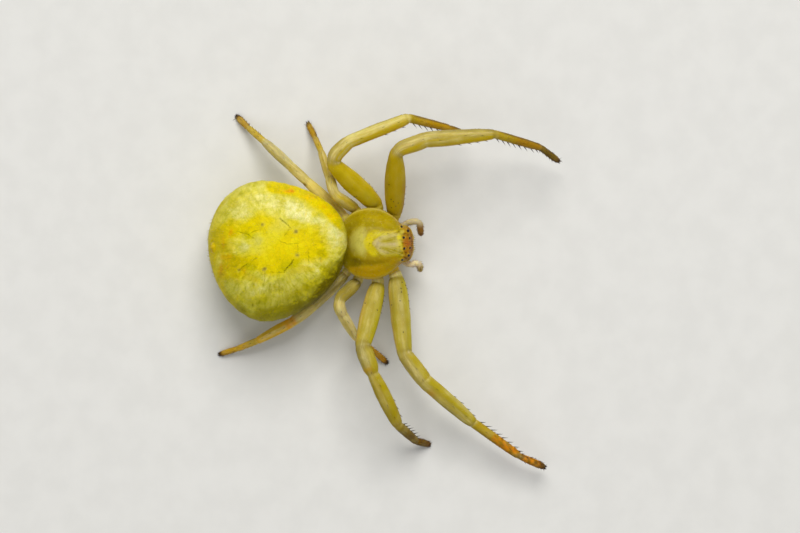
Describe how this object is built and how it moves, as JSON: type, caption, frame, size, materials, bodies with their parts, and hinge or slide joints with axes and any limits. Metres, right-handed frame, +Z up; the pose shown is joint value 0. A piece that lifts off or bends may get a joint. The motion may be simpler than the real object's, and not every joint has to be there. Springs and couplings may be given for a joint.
{
  "type": "crab spider",
  "caption": "Life-size still model of a yellow flower crab spider, standing on its hind legs with the long forelegs held out, broad egg-shaped abdomen and low carapace.",
  "frame": {"origin": "on the floor, under the middle of the whole spider's length and width", "axes": "+Z up; the head points along -Y and the spider's left side is +X"},
  "size_m": [0.016, 0.0158, 0.005],
  "materials": {
    "abdomen_cuticle": "satin",
    "carapace_cuticle": "gloss",
    "leg_cuticle": "satin",
    "mouthpart_cuticle": "satin",
    "eye": "gloss"
  },
  "bodies": {
    "root": {"abdomen": "abdomen_cuticle", "cephalothorax": "carapace_cuticle", "chelicera_left": "mouthpart_cuticle", "chelicera_right": "mouthpart_cuticle", "eye_left_front_lateral": "eye", "eye_left_front_median": "eye", "eye_left_rear_lateral": "eye", "eye_left_rear_median": "eye", "eye_right_front_lateral": "eye", "eye_right_front_median": "eye", "eye_right_rear_lateral": "eye", "eye_right_rear_median": "eye", "leg_left_1_coxa": "carapace_cuticle", "leg_left_1_femur": "leg_cuticle", "leg_left_1_foot": "leg_cuticle", "leg_left_1_patella": "leg_cuticle", "leg_left_1_tibia": "leg_cuticle", "leg_left_2_coxa": "carapace_cuticle", "leg_left_2_femur": "leg_cuticle", "leg_left_2_foot": "leg_cuticle", "leg_left_2_patella": "leg_cuticle", "leg_left_2_tibia": "leg_cuticle", "leg_left_3_coxa": "carapace_cuticle", "leg_left_3_femur": "leg_cuticle", "leg_left_3_foot": "leg_cuticle", "leg_left_3_patella": "leg_cuticle", "leg_left_3_tibia": "leg_cuticle", "leg_left_4_coxa": "carapace_cuticle", "leg_left_4_femur": "leg_cuticle", "leg_left_4_foot": "leg_cuticle", "leg_left_4_patella": "leg_cuticle", "leg_left_4_tibia": "leg_cuticle", "leg_right_1_coxa": "carapace_cuticle", "leg_right_1_femur": "leg_cuticle", "leg_right_1_foot": "leg_cuticle", "leg_right_1_patella": "leg_cuticle", "leg_right_1_tibia": "leg_cuticle", "leg_right_2_coxa": "carapace_cuticle", "leg_right_2_femur": "leg_cuticle", "leg_right_2_foot": "leg_cuticle", "leg_right_2_patella": "leg_cuticle", "leg_right_2_tibia": "leg_cuticle", "leg_right_3_coxa": "carapace_cuticle", "leg_right_3_femur": "leg_cuticle", "leg_right_3_foot": "leg_cuticle", "leg_right_3_patella": "leg_cuticle", "leg_right_3_tibia": "leg_cuticle", "leg_right_4_coxa": "carapace_cuticle", "leg_right_4_femur": "leg_cuticle", "leg_right_4_foot": "leg_cuticle", "leg_right_4_patella": "leg_cuticle", "leg_right_4_tibia": "leg_cuticle", "palp_left_limb": "mouthpart_cuticle", "palp_left_tip": "mouthpart_cuticle", "palp_right_limb": "mouthpart_cuticle", "palp_right_tip": "mouthpart_cuticle", "pedicel": "carapace_cuticle", "spinnerets": "mouthpart_cuticle"}
  },
  "joints": []
}
